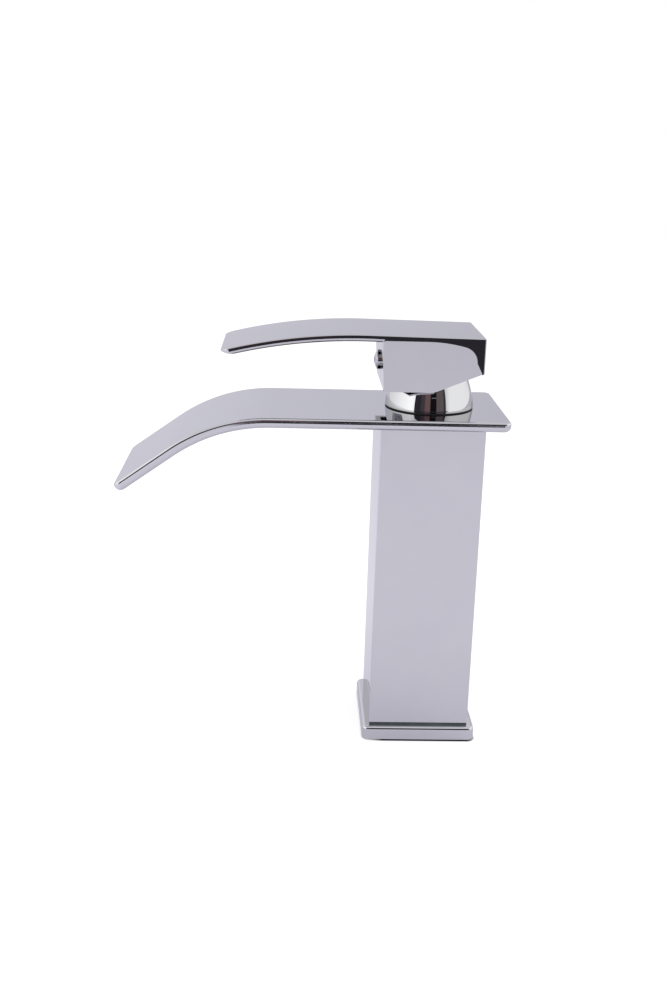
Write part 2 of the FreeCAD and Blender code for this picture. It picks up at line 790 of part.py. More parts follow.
def side_wedge(side):
    """What the draft of the hub takes off one side, below the blade."""
    edge = lever_top - hub_draft_drop
    depth = edge - hub_bottom + BEYOND
    inset = depth * math.tan(math.radians(hub_side_draft))
    x = side * lever_width / 2
    corners = [V(x, 0, edge), V(x + side * BEYOND, 0, edge), V(x + side * BEYOND, 0, edge - depth),
               V(x - side * inset, 0, edge - depth), V(x, 0, edge)]
    wedge = Part.Face(Part.makePolygon(corners))
    wedge.translate(V(0, -hub_top_front - BEYOND, 0))
    return wedge.extrude(V(0, hub_top_front + lever_back + 2 * BEYOND, 0))


def on_fall(centre, radius, turn):
    """Point on an arc in the YZ plane; turn 0 is its top and it falls towards the back."""
    return centre + V(0, radius * math.sin(turn), radius * math.cos(turn))


def relief_outline():
    """Side outline of the drafted part: its upper edge falls in two arcs to an upright end."""
    top = lever_top - hub_draft_drop
    turn = math.radians(relief_fall_angle)
    start = V(0, -relief_start, top)
    fall_centre = start - UP * relief_fall_radius
    corner_centre = on_fall(fall_centre, relief_fall_radius - relief_corner_radius, turn)
    join = on_fall(fall_centre, relief_fall_radius, turn)
    flank = on_fall(corner_centre, relief_corner_radius, math.pi / 2)
    fall_middle = on_fall(fall_centre, relief_fall_radius, turn / 2)
    corner_middle = on_fall(corner_centre, relief_corner_radius, (turn + math.pi / 2) / 2)
    back_z = hub_bottom + (lever_back + hub_rise_start) * math.tan(math.radians(hub_rise_angle))
    low = hub_bottom - BEYOND
    corners = [flank, V(0, lever_back - BEYOND, back_z), V(0, lever_back - BEYOND, low),
               V(0, -hub_top_front - BEYOND, low), V(0, -hub_top_front - BEYOND, top), start]
    edges = [Part.Arc(start, fall_middle, join).toShape(),
             Part.Arc(join, corner_middle, flank).toShape()]
    return edges + [Part.makeLine(a, b) for a, b in zip(corners, corners[1:])]


def hub_blank():
    """Hub before its sides and underside are cut: the front leans, the back is upright."""
    half = lever_width / 2
    overlap = hub_front / 2
    front = rounded_wire(half, -hub_front, overlap, hub_front_corner, hub_front_corner,
                         hub_bottom)
    back = rounded_wire(half, -overlap, lever_back, hub_front_corner, lever_back_corner,
                        hub_bottom)
    height = hub_roof_z - hub_bottom
    blank = Part.Face(front).extrude(V(0, -hub_lean, height))
    return blank.fuse(Part.Face(back).extrude(V(0, 0, height))).removeSplitter()


def nose_outline(profile):
    """What the rise of the underside takes off the blade's tip, seen from the side."""
    turn = profile.angle - blade_nose_start / profile.radius
    start = profile.on_arc(blade_thickness, turn)
    tilted = turn - math.radians(blade_nose_tilt)
    up = V(0, -math.sin(tilted), math.cos(tilted))
    along = V(0, -math.cos(tilted), -math.sin(tilted))
    centre = start + up * blade_nose_radius
    sweep = math.asin((blade_nose_start + BEYOND) / blade_nose_radius)
    before = math.radians(blade_nose_tilt) / 2

    def on_nose(angle):
        outwards = along * math.sin(angle) - up * math.cos(angle)
        return centre + outwards * blade_nose_radius

    first, last = on_nose(-before), on_nose(sweep)
    low = -up * (blade_thickness + BEYOND)
    corners = [last, last + low, first + low, first]
    edges = [Part.Arc(first, on_nose(sweep / 2), last).toShape()]
    return edges + [Part.makeLine(a, b) for a, b in zip(corners, corners[1:])]


def make_lever():
    """Cast lever: bent blade, hollow hub and the socket for the stem."""
    profile = BentPlate(lever_top + blade_crest, lever_back, lever_bend_start,
                        lever_bend_radius, lever_bend_angle, 0, lever_back_slope)
    blade = profile.plate(blade_thickness, lever_width, lever_back_corner, blade_tip_corner,
                          blade_top_round, blade_bottom_round)
    blade = blade.cut(side_prism(nose_outline(profile), lever_width))
    hub = hub_blank()
    relief = side_prism(relief_outline(), lever_width)
    for side in (-1, 1):
        hub = hub.cut(side_wedge(side).common(relief))
    side_view = hub_profile(-hub_top_front - BEYOND, lever_back, hub_roof_z)
    hub = hub.common(side_prism(side_view, lever_width))

    lost = (lever_top - hub_bottom) * math.tan(math.radians(hub_side_draft))
    inner_half = lever_width / 2 - hub_wall - lost
    inside = rounded_wire(inner_half, hub_wall - hub_front, lever_back - hub_wall,
                          hub_front_corner, hub_inner_corner, hub_bottom - BEYOND)
    ceiling = lever_top - hub_roof
    hollow = Part.Face(inside).extrude(V(0, 0, ceiling - hub_bottom + BEYOND))
    socket = rod(socket_radius, lever_top - socket_bottom, ceiling)
    hub = hub.cut(hollow.cut(socket))

    half = stem_width / 2 + running_fit
    bore = block(-half, half, -half, half, lever_top - socket_bottom, lever_top - stem_top_drop)
    screw_hole = rod_y(grub_radius + thread_fit, -socket_radius, 0, index_z)
    button_hole = rod_y(button_spigot_radius + thread_fit, -hub_top_front - BEYOND,
                        hub_wall - hub_front + BEYOND, index_z)
    spot_face = rod_y(button_radius + slip_fit, -hub_top_front - BEYOND, -button_seat, index_z)
    lever = blade.fuse(hub)
    for cut in (bore, screw_hole, button_hole, spot_face):
        lever = lever.cut(cut)
    return lever.removeSplitter()


def make_grub_screw():
    """Grub screw that bears on the stem, with a hexagon key hole."""
    back = -stem_width / 2
    front = back - grub_length
    screw = rod_y(grub_radius, front, back, index_z)
    key = hexagon(grub_key_radius, 0, grub_length / 2)
    key.rotate(V(0, 0, 0), ACROSS, -90)
    key.translate(V(0, front, index_z))
    return screw.cut(key)


def button_head():
    """Round head with a domed front, on its spot face."""
    front = -button_seat - button_height
    dome = Part.makeSphere(button_dome_radius, V(0, front + button_dome_radius, index_z))
    return rod_y(button_radius, front, -button_seat, index_z).common(dome)


def make_button():
    """Round plug in the hub's front, with a recess for the two marks."""
    spigot = rod_y(button_spigot_radius, -button_seat, button_spigot_length - button_seat,
                   index_z)
    button = button_head().fuse(spigot)
    for side in (-1, 1):
        button = button.cut(half_mark(side))
    return button.removeSplitter()


def half_mark(side):
    """Half of the round index, on one side of a thin bar."""
    front = -button_seat - button_height
    disc = rod_y(mark_radius, front, front + mark_depth, index_z)
    near, far = sorted((side * mark_gap, side * mark_radius))
    half = disc.common(block(near, far, front, front + mark_depth, index_z - mark_radius,
                             index_z + mark_radius))
    return half.common(button_head())


spout_tray, spout_cover = make_spout()
neck_seal_lower, neck_seal_upper = make_neck_seals()

pieces = {
    "base_plate": make_foot(),
    "base_gasket": gasket_ring(),
    "foot_plate": make_foot_block(),
    "tie_screws": make_tie_screws(),
    "column_shell": make_column(),
    "valve_body": make_valve_body(),
    "neck_seal_lower": neck_seal_lower,
    "spout_tray": spout_tray,
    "spout_cover": spout_cover,
    "neck_seal_upper": neck_seal_upper,
    "spout_nut": make_spout_nut(),
    "cap_gasket": make_cap_gasket(),
    "bell_cap": make_bell(),
    "cartridge_base": make_cartridge_base(),
    "inlet_seals": Part.makeCompound(inlet_seal_rings()),
    "disc_seals": Part.makeCompound(disc_seal_rings()),
    "fixed_disc": make_fixed_disc(),
    "cartridge_housing": make_housing(),
    "housing_oring": make_oring(),
    "cartridge_nut": make_cartridge_nut(),
    "moving_disc": make_moving_disc(),
    "drive_plate": make_slider(),
    "stem_carrier": make_turret(),
    "pivot_pin": rod_x(pin_radius, turret_radius - pin_inset, pivot_z),
    "stem": make_stem(),
    "lever_handle": make_lever(),
    "set_screw": make_grub_screw(),
    "index_button": make_button(),
    "cold_mark": half_mark(1),
    "hot_mark": half_mark(-1),
}

for name, shape in pieces.items():
    shape.exportStep(os.path.join("parts", name + ".step"))
    print(name, "solids", len(shape.Solids), "volume", round(shape.Volume, 1))

print("pivot", round(pivot_z, 3), "disc travel", round(disc_travel, 4),
      "metres per radian", round(-disc_travel / math.radians(lift_angle) / 1000, 7))
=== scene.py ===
import bmesh
import bpy
import math
from mathutils import Matrix, Vector


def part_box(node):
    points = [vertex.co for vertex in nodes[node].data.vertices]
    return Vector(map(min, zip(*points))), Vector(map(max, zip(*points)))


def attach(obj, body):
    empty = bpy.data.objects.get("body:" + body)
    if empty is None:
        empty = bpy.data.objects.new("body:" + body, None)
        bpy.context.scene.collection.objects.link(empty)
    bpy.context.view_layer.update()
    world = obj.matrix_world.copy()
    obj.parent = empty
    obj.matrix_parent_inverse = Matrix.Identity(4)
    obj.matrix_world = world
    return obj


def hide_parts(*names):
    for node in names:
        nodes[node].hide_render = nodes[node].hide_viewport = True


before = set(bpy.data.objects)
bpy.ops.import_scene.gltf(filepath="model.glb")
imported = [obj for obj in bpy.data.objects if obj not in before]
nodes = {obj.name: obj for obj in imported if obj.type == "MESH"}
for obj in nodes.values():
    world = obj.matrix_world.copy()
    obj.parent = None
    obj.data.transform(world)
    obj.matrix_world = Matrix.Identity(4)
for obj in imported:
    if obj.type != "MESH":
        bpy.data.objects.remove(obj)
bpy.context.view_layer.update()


# Foot. A cast brass flange with a rounded upper rim, ground, buffed and chrome plated. The
# plate is a mirror with a few hairlines, a thin film from handling and softer edges.

def put(tree, kind, values=None, **settings):
    """Adds a node. Values are sockets to link or plain values, by input."""
    node = tree.nodes.new(kind if kind.startswith("GeometryNode") else "ShaderNode" + kind)
    for name, value in settings.items():
        setattr(node, name, value)
    for key, value in (values or {}).items():
        socket = node.inputs[key]
        if isinstance(value, bpy.types.NodeSocket):
            tree.links.new(value, socket)
        else:
            socket.default_value = value
    return node


def sum_of(tree, operation, *values, clamp=False):
    """One Math node, as its output."""
    return put(tree, "Math", dict(enumerate(values)), operation=operation,
               use_clamp=clamp).outputs[0]


def rescale(tree, value, low, high, start=0.0, end=1.0):
    """Spreads low..high to start..end."""
    return put(tree, "MapRange", {"Value": value, 1: low, 2: high, 3: start, 4: end}).outputs[0]


def blend_of(tree, share, first, second):
    """Mixes two colours."""
    return put(tree, "Mix", {0: share, 6: first, 7: second}, data_type="RGBA").outputs[2]


def effect(name, numbers, outputs):
    """Starts a shader group. Returns its tree, inputs and a function that links an output."""
    tree = bpy.data.node_groups.new(name, "ShaderNodeTree")
    for label, value in numbers.items():
        socket = tree.interface.new_socket(label, in_out="INPUT", socket_type="NodeSocketFloat")
        socket.default_value = value
    for label in outputs:
        tree.interface.new_socket(label, in_out="OUTPUT", socket_type="NodeSocketFloat")
    source = tree.nodes.new("NodeGroupInput")
    result = tree.nodes.new("NodeGroupOutput")
    return tree, source.outputs, lambda label, value: tree.links.new(value, result.inputs[label])


def use(tree, group, **numbers):
    """Places a shader group in a material, with its own values."""
    node = tree.nodes.new("ShaderNodeGroup")
    node.node_tree = group
    for label, value in numbers.items():
        node.inputs[label.replace("_", " ")].default_value = value
    return node.outputs


def surface(name, colour, roughness, height, relief, **even):
    """Makes a material. Colour, roughness and height come from functions of its tree."""
    material = bpy.data.materials.new(name)
    material.use_nodes = True
    tree = material.node_tree
    skin = tree.nodes["Principled BSDF"]
    tree.links.new(colour(tree), skin.inputs["Base Color"])
    tree.links.new(roughness(tree), skin.inputs["Roughness"])
    bump = put(tree, "Bump", {"Strength": 1.0, "Distance": relief, "Height": height(tree)})
    tree.links.new(bump.outputs[0], skin.inputs["Normal"])
    for label, value in even.items():
        skin.inputs[label.replace("_", " ")].default_value = value
    return material


def dress(material, *names):
    """Gives CAD nodes a finish."""
    for name in names:
        nodes[name].data.materials.clear()
        nodes[name].data.materials.append(material)


# Cloudy film of handling, in patches of the size given.
film, given, result = effect("handling_film", {"Patch Size": 0.02}, ("Film",))
place = put(film, "TexCoord").outputs["Object"]
patches = sum_of(film, "DIVIDE", 1.0, given["Patch Size"])
cloud = put(film, "TexNoise", {"Vector": place, "Scale": patches, "Detail": 4.0}).outputs[0]
result("Film", rescale(film, cloud, 0.35, 0.68))

# Fine lines left by the buffing wheel, drawn out along the tap's height, and a slow swell.
across, along = 2600.0, 60.0    # lines in a metre
hairlines, given, result = effect("buffing_hairlines", {"Share": 0.3}, ("Lines", "Ripple"))
place = put(hairlines, "TexCoord").outputs["Object"]
drawn = put(hairlines, "Mapping", {"Vector": place, "Scale": (across, across, along)}).outputs[0]
strands = put(hairlines, "TexNoise", {"Vector": drawn, "Scale": 1.0, "Detail": 1.0}).outputs[0]
result("Lines", sum_of(hairlines, "MULTIPLY", rescale(hairlines, strands, 0.66, 0.74),
                       given["Share"]))
swell = put(hairlines, "TexNoise", {"Vector": place, "Scale": 70.0, "Detail": 0.0}).outputs[0]
result("Ripple", swell)

# Worn edges: 1 on corners and rims, broken up, and 0 on flat faces.
edges, given, result = effect("worn_edges", {"Reach": 0.0004, "Break Up": 0.5}, ("Edge",))
rounded = put(edges, "Bevel", {"Radius": given["Reach"]}, samples=4).outputs[0]
true_normal = put(edges, "NewGeometry").outputs["Normal"]
agree = put(edges, "VectorMath", {0: rounded, 1: true_normal}, operation="DOT_PRODUCT").outputs[1]
corner = rescale(edges, agree, 0.995, 0.9)
place = put(edges, "TexCoord").outputs["Object"]
chips = put(edges, "TexNoise", {"Vector": place, "Scale": 900.0, "Detail": 3.0}).outputs[0]
kept = sum_of(edges, "SUBTRACT", 1.0, sum_of(edges, "MULTIPLY", chips, given["Break Up"]))
result("Edge", sum_of(edges, "MULTIPLY", corner, kept))

hand_patch = 0.02               # m
line_share = 0.3
edge_dulling = 0.05
ripple_depth = 0.000001         # m


def chrome(name, clean, filmed, gloss, dulled):
    """Chrome plate: a mirror whose tone, gloss and flatness vary a little."""
    def colour(tree):
        return blend_of(tree, use(tree, film, Patch_Size=hand_patch)["Film"], clean, filmed)

    def roughness(tree):
        cloudy = use(tree, film, Patch_Size=hand_patch)["Film"]
        lines = use(tree, hairlines, Share=line_share)["Lines"]
        lined = sum_of(tree, "ADD", cloudy, lines, clamp=True)
        worn = sum_of(tree, "MULTIPLY", use(tree, edges, Reach=0.0003, Break_Up=0.6)["Edge"],
                      edge_dulling)
        return sum_of(tree, "ADD", rescale(tree, lined, 0.0, 1.0, gloss, dulled), worn)

    def height(tree):
        return use(tree, hairlines, Share=line_share)["Ripple"]

    return surface(name, colour, roughness, height, ripple_depth, Metallic=1.0,
                   Specular_Tint=(0.8, 0.8, 0.8, 1.0))


chrome_on_brass = chrome("chrome_on_brass", (0.55, 0.552, 0.562, 1), (0.54, 0.54, 0.553, 1),
                         0.02, 0.05)
dress(chrome_on_brass, "base_plate")


# Foot gasket. A square rubber cord pressed into a groove in the foot's underside. It seals
# against the basin, and its faces carry a grey bloom and fine grain.

def rubber_colour(tree):
    bloom = use(tree, film, Patch_Size=0.006)["Film"]
    return blend_of(tree, bloom, (0.016, 0.016, 0.018, 1), (0.034, 0.034, 0.036, 1))


def rubber_roughness(tree):
    bloom = use(tree, film, Patch_Size=0.003)["Film"]
    rubbed = sum_of(tree, "MULTIPLY", use(tree, edges, Reach=0.0002, Break_Up=0.5)["Edge"], -0.15)
    return sum_of(tree, "ADD", rescale(tree, bloom, 0.0, 1.0, 0.5, 0.72), rubbed)


# Fine grain of a moulded surface.
grain, given, result = effect("mould_grain", {"Grain Size": 0.0002}, ("Grain",))
place = put(grain, "TexCoord").outputs["Object"]
fineness = sum_of(grain, "DIVIDE", 1.0, given["Grain Size"])
result("Grain", put(grain, "TexNoise", {"Vector": place, "Scale": fineness,
                                        "Detail": 2.0}).outputs[0])

black_rubber = surface("black_rubber", rubber_colour, rubber_roughness,
                       lambda tree: use(tree, grain, Grain_Size=0.00015)["Grain"], 0.00001,
                       Specular_IOR_Level=0.4)


def geometry(name, inputs):
    """Starts a geometry tree with named inputs. Returns tree, inputs and the output socket."""
    tree = bpy.data.node_groups.new(name, "GeometryNodeTree")
    tree.interface.new_socket("Section", in_out="INPUT", socket_type="NodeSocketGeometry")
    for label, kind in inputs.items():
        tree.interface.new_socket(label, in_out="INPUT", socket_type="NodeSocket" + kind)
    tree.interface.new_socket("Piece", in_out="OUTPUT", socket_type="NodeSocketGeometry")
    source = tree.nodes.new("NodeGroupInput")
    return tree, source.outputs, tree.nodes.new("NodeGroupOutput").inputs[0]


weld = 1e-7                     # m, points nearer than this are one
sharp_angle = math.radians(25)


def make_mesh(name, section, tree, values):
    """Runs a geometry tree once on a section and keeps the result as a plain mesh."""
    piece = bpy.data.objects.new(name, section)
    bpy.context.scene.collection.objects.link(piece)
    modifier = piece.modifiers.new("making", "NODES")
    modifier.node_group = tree
    for socket in tree.interface.items_tree:
        if socket.in_out == "INPUT" and socket.name in values:
            modifier[socket.identifier] = values[socket.name]
    evaluated = piece.evaluated_get(bpy.context.evaluated_depsgraph_get())
    mesh = bpy.data.meshes.new_from_object(evaluated)
    piece.modifiers.clear()
    piece.data = mesh
    solid = bmesh.new()
    solid.from_mesh(mesh)
    bmesh.ops.remove_doubles(solid, verts=solid.verts, dist=weld)
    bmesh.ops.recalc_face_normals(solid, faces=solid.faces)
    solid.to_mesh(mesh)
    solid.free()
    mesh.polygons.foreach_set("use_smooth", [True] * len(mesh.polygons))
    mesh.set_sharp_from_angle(angle=sharp_angle)
    return piece


def ride(piece, body, slot, *replaced):
    """Says what a new piece rides on and hides the nodes it stands for. The slot is not used."""
    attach(piece, body)
    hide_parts(*replaced)


cord, given, finished = geometry("square_cord", {
    "Width": "Float", "Height": "Float", "Edge Round": "Float", "Finish": "Material"})
path = put(cord, "GeometryNodeMeshToCurve", {0: given["Section"]}).outputs[0]
path = put(cord, "GeometryNodeSetCurveNormal", {0: path}, mode="Z_UP").outputs[0]
profile = put(cord, "GeometryNodeCurvePrimitiveQuadrilateral",
              {"Width": given["Width"], "Height": given["Height"]}).outputs[0]
profile = put(cord, "GeometryNodeFilletCurve", {0: profile, "Radius": given["Edge Round"],
                                                "Count": 4}, mode="POLY").outputs[0]
swept = put(cord, "GeometryNodeCurveToMesh", {0: path, 1: profile}).outputs[0]
swept = put(cord, "GeometryNodeRealizeInstances", {0: swept}).outputs[0]
swept = put(cord, "GeometryNodeSetMaterial", {0: swept, "Material": given["Finish"]}).outputs[0]
cord.links.new(swept, finished)

gasket_side = 47.4              # mm, outer width
gasket_width = 1.6
gasket_height = 1.2
gasket_corner = 1.7
gasket_edge_round = 0.25
corner_steps = 6
line_radius = gasket_corner - gasket_width / 2
reach = gasket_side / 2 - gasket_corner
corners = []
for x, y, start in ((1, 1, 0), (-1, 1, 90), (-1, -1, 180), (1, -1, 270)):
    for step in range(corner_steps + 1):
        turn = math.radians(start + 90 * step / corner_steps)
        corners.append(((x * reach + line_radius * math.cos(turn)) / 1000,
                        (y * reach + line_radius * math.sin(turn)) / 1000,
                        gasket_height / 2000))
path = bpy.data.meshes.new("gasket_path")
path.from_pydata(corners, [(point, (point + 1) % len(corners)) for point in range(len(corners))],
                 [])
base_gasket = make_mesh("foot_gasket", path, cord, {
    "Width": gasket_width / 1000, "Height": gasket_height / 1000,
    "Edge Round": gasket_edge_round / 1000, "Finish": black_rubber})
ride(base_gasket, "tap_body", "rubber", "base_gasket")


# Brass block inside the foot. It is milled from bar, with the fixing stud's thread, the two
# hose ways and the seats of the long screws. Bare brass has cutter marks and some tarnish.

# Marks of a lathe or mill: circles about the tap's axis, and rings along it.
tooling, given, result = effect("tool_marks", {"Pitch": 0.0002, "Depth Change": 0.4},
                                ("Marks", "Tone"))
place = put(tooling, "TexCoord").outputs["Object"]
apart = put(tooling, "SeparateXYZ", {0: place}).outputs
level_place = put(tooling, "CombineXYZ", {0: apart["X"], 1: apart["Y"]}).outputs[0]
away = put(tooling, "VectorMath", {0: level_place}, operation="LENGTH").outputs[1]
travel = sum_of(tooling, "ADD", away, apart["Z"])
passes = sum_of(tooling, "MULTIPLY", sum_of(tooling, "DIVIDE", travel, given["Pitch"]),
                2 * math.pi)
wave = rescale(tooling, sum_of(tooling, "SINE", passes), -1.0, 1.0)
slow = put(tooling, "TexNoise", {"W": sum_of(tooling, "MULTIPLY", travel, 900.0), "Scale": 1.0,
                                 "Detail": 3.0}, noise_dimensions="1D").outputs[0]
uneven = sum_of(tooling, "MULTIPLY", slow, given["Depth Change"])
result("Marks", sum_of(tooling, "ADD", wave, uneven))
result("Tone", rescale(tooling, slow, 0.35, 0.7))


def machined(name, fresh, aged, smooth, rough, pitch, metallic=1.0, relief=0.0000015):
    """A machined finish: tool marks, patches of tarnish and brighter edges."""
    def colour(tree):
        patches = use(tree, film, Patch_Size=0.009)["Film"]
        tarnish = sum_of(tree, "MULTIPLY", patches, 0.7)
        streaks = sum_of(tree, "MULTIPLY", use(tree, tooling, Pitch=pitch)["Tone"], 0.3)
        bright = use(tree, edges, Reach=0.0003, Break_Up=0.5)["Edge"]
        total = sum_of(tree, "SUBTRACT", sum_of(tree, "ADD", tarnish, streaks), bright, clamp=True)
        return blend_of(tree, total, fresh, aged)

    def roughness(tree):
        patches = use(tree, film, Patch_Size=0.005)["Film"]
        return rescale(tree, patches, 0.0, 1.0, smooth, rough)

    return surface(name, colour, roughness, lambda tree: use(tree, tooling, Pitch=pitch)["Marks"],
                   relief, Metallic=metallic)


machined_brass = machined("machined_brass", (0.76, 0.57, 0.27, 1), (0.58, 0.40, 0.17, 1),
                          0.2, 0.42, 0.00025)
dress(machined_brass, "foot_plate")


# Long screws. Two M4 screws of zinc-plated steel with socket heads hold the foot, the column
# and the valve body together. The thread is cut only near the end.

# Turning: a half section of radius and height is carried round the axis. A section point may
# cut a screw thread or stand on a hexagon.
turning, given, finished = geometry("turning", {
    "Facets": "Int", "Thread Pitch": "Float", "Count": "Int", "First Place": "Vector",
    "Next Place": "Vector", "Finish": "Material"})
points = put(turning, "GeometryNodeAttributeDomainSize", {0: given["Section"]}).outputs[0]
seam = sum_of(turning, "ADD", given["Facets"], 1.0)
grid = put(turning, "GeometryNodeMeshGrid", {"Vertices X": points, "Vertices Y": seam}).outputs[0]
index = put(turning, "GeometryNodeInputIndex").outputs[0]
row = sum_of(turning, "FLOOR", sum_of(turning, "DIVIDE", sum_of(turning, "ADD", index, 0.5), seam))
turn = sum_of(turning, "DIVIDE",
              sum_of(turning, "SUBTRACT", index, sum_of(turning, "MULTIPLY", row, seam)),
              given["Facets"])
position = put(turning, "GeometryNodeInputPosition").outputs[0]
spot = put(turning, "GeometryNodeSampleIndex",
           {0: given["Section"], "Value": position, "Index": row}, data_type="FLOAT_VECTOR")
spot = put(turning, "SeparateXYZ", {0: spot.outputs[0]}).outputs
marks = {}
for label in ("thread", "hexagon"):
    stored = put(turning, "GeometryNodeInputNamedAttribute", {"Name": label}, data_type="FLOAT")
    marks[label] = put(turning, "GeometryNodeSampleIndex",
                       {0: given["Section"], "Value": stored.outputs[0], "Index": row}).outputs[0]
phase = sum_of(turning, "SUBTRACT", sum_of(turning, "DIVIDE", spot["Z"], given["Thread Pitch"]),
               turn)
groove = sum_of(turning, "PINGPONG", sum_of(turning, "MULTIPLY", phase, 2.0), 1.0)
cut_radius = sum_of(turning, "ADD", spot["X"], sum_of(turning, "MULTIPLY", marks["thread"], groove))
sixth = sum_of(turning, "SUBTRACT",
               sum_of(turning, "FRACT", sum_of(turning, "MULTIPLY", turn, 6.0)), 0.5)
flat = sum_of(turning, "DIVIDE", math.cos(math.pi / 6),
              sum_of(turning, "COSINE", sum_of(turning, "MULTIPLY", sixth, math.pi / 3)))
shrunk = sum_of(turning, "MULTIPLY", marks["hexagon"], sum_of(turning, "SUBTRACT", flat, 1.0))
radius = sum_of(turning, "MULTIPLY", cut_radius, sum_of(turning, "ADD", shrunk, 1.0))
angle = sum_of(turning, "MULTIPLY", turn, 2 * math.pi)
around = put(turning, "CombineXYZ", {
    0: sum_of(turning, "MULTIPLY", radius, sum_of(turning, "COSINE", angle)),
    1: sum_of(turning, "MULTIPLY", radius, sum_of(turning, "SINE", angle)),
    2: spot["Z"]}).outputs[0]
shape = put(turning, "GeometryNodeSetPosition", {0: grid, "Position": around}).outputs[0]
shape = put(turning, "GeometryNodeMergeByDistance", {0: shape, "Distance": weld}).outputs[0]
line = put(turning, "GeometryNodeMeshLine", {"Count": given["Count"],
                                             "Start Location": given["First Place"],
                                             "Offset": given["Next Place"]}).outputs[0]
copies = put(turning, "GeometryNodeInstanceOnPoints", {"Points": line, "Instance": shape})
whole = put(turning, "GeometryNodeRealizeInstances", {0: copies.outputs[0]}).outputs[0]
whole = put(turning, "GeometryNodeSetMaterial", {0: whole, "Material": given["Finish"]}).outputs[0]
turning.links.new(whole, finished)


def turned(name, section, finish, facets, pitch=0.7, count=1, first=(0, 0, 0),
           following=(0, 0, 0)):
    """Turned piece from rows of radius, height, thread depth and hexagon share, in mm."""
    mesh = bpy.data.meshes.new(name)
    rows = [tuple(row) + (0, 0, 0, 0)[len(row):] for row in section]
    mesh.from_pydata([(r / 1000, 0, z / 1000) for r, z, _, _ in rows],
                     [(point, point + 1) for point in range(len(rows) - 1)], [])
    for label, column, scale in (("thread", 2, 0.001), ("hexagon", 3, 1.0)):
        stored = mesh.attributes.new(label, "FLOAT", "POINT")
        stored.data.foreach_set("value", [row[column] * scale for row in rows])
    return make_mesh(name, mesh, turning, {
        "Facets": facets, "Thread Pitch": pitch / 1000, "Count": count,
        "First Place": [value / 1000 for value in first],
        "Next Place": [value / 1000 for value in following], "Finish": finish})


zinc_plate = machined("zinc_plated_steel", (0.58, 0.60, 0.64, 1), (0.42, 0.43, 0.46, 1),
                      0.24, 0.4, 0.0002)
screw_radius = 2.0              # mm
screw_pitch = 0.7
screw_thread_depth = 0.38
screw_thread_start = 127.5
screw_top = 141.5
screw_place = 13.0              # from the column's axis, along X and along Y
head_radius = 3.5
head_low = 1.4
head_high = 5.4
head_round = 0.1
key_radius = 1.5
key_top = 3.4
edge = 0.3
cuts = 6                        # section points in one turn of a thread
screw_facets = 36
screw = [(0, key_top, 0, 1), (key_radius, key_top, 0, 1), (key_radius, head_low, 0, 1),
         (head_radius - edge, head_low), (head_radius, head_low + edge),
         (head_radius, head_high - head_round), (head_radius - head_round, head_high),
         (screw_radius, head_high), (screw_radius, screw_thread_start)]
for step in range(1, int((screw_top - edge - screw_thread_start) / screw_pitch * cuts)):
    screw.append((screw_radius, screw_thread_start + step * screw_pitch / cuts,
                  -screw_thread_depth))
screw += [(screw_radius - screw_thread_depth, screw_top - edge / 2),
          (screw_radius - screw_thread_depth - edge / 2, screw_top), (0, screw_top)]
long_screws = turned("long_screws", screw, zinc_plate, facets=screw_facets, pitch=screw_pitch,
                     count=2, first=(-screw_place, -screw_place, 0),
                     following=(2 * screw_place, 2 * screw_place, 0))
ride(long_screws, "tap_body", "steel", "tie_screws")


# Column. A square drawn brass tube, polished on all four sides and chrome plated, between
# the foot's collar and the spout.
dress(chrome_on_brass, "column_shell")


# Valve body. Turned and milled from brass: the neck that carries the spout and the bell, the
# square shoulder in the column, and the two hose threads.
dress(machined_brass, "valve_body")


# Seals round the neck. Two small rubber rings, one in the shoulder under the spout and one
# in the ring nut over it.

def round_bar(inner, outer, low, high, corner, steps=5):
    """Closed half section of a ring: a rectangle with round corners."""
    centres = [(outer - corner, high - corner, 0), (inner + corner, high - corner, 90),
               (inner + corner, low + corner, 180), (outer - corner, low + corner, 270)]
    section = []
    for x, z, start in centres:
        for step in range(steps + 1):
            turn = math.radians(start + 90 * step / steps)
            section.append((x + corner * math.cos(turn), z + corner * math.sin(turn)))
    return section + section[:1]


plate_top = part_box("cap_gasket")[0][2] * 1000           # mm, upper face of the spout
plate_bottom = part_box("neck_seal_lower")[1][2] * 1000
neck_radius = 15.0
lower_seal_inner = 16.2
lower_seal_outer = 17.7
lower_seal_height = 0.9
lower_seal_round = 0.35
upper_seal_width = 0.85
upper_seal_height = 0.8
upper_seal_round = 0.3
ring_facets = 96
lower_seal = turned("neck_seal_low",
                    round_bar(lower_seal_inner, lower_seal_outer, plate_bottom - lower_seal_height,
                              plate_bottom, lower_seal_round),
                    black_rubber, facets=ring_facets)
ride(lower_seal, "tap_body", "rubber", "neck_seal_lower")
upper_seal = turned("neck_seal_high",
                    round_bar(neck_radius, neck_radius + upper_seal_width, plate_top,
                              plate_top + upper_seal_height, upper_seal_round),
                    black_rubber, facets=ring_facets)
ride(upper_seal, "tap_body", "rubber", "neck_seal_upper")


# Spout. Two brass sheets brazed together, a tray with side walls and a cover, bent in one
# arc. The water leaves through the slit between them. All of it is buffed and plated.
dress(chrome_on_brass, "spout_tray", "spout_cover")


# Ring nut on the spout. Turned from brass, with four slots for a pin spanner, it screws on the
# neck and clamps the spout on the valve body's shoulder.
dress(machined_brass, "spout_nut")


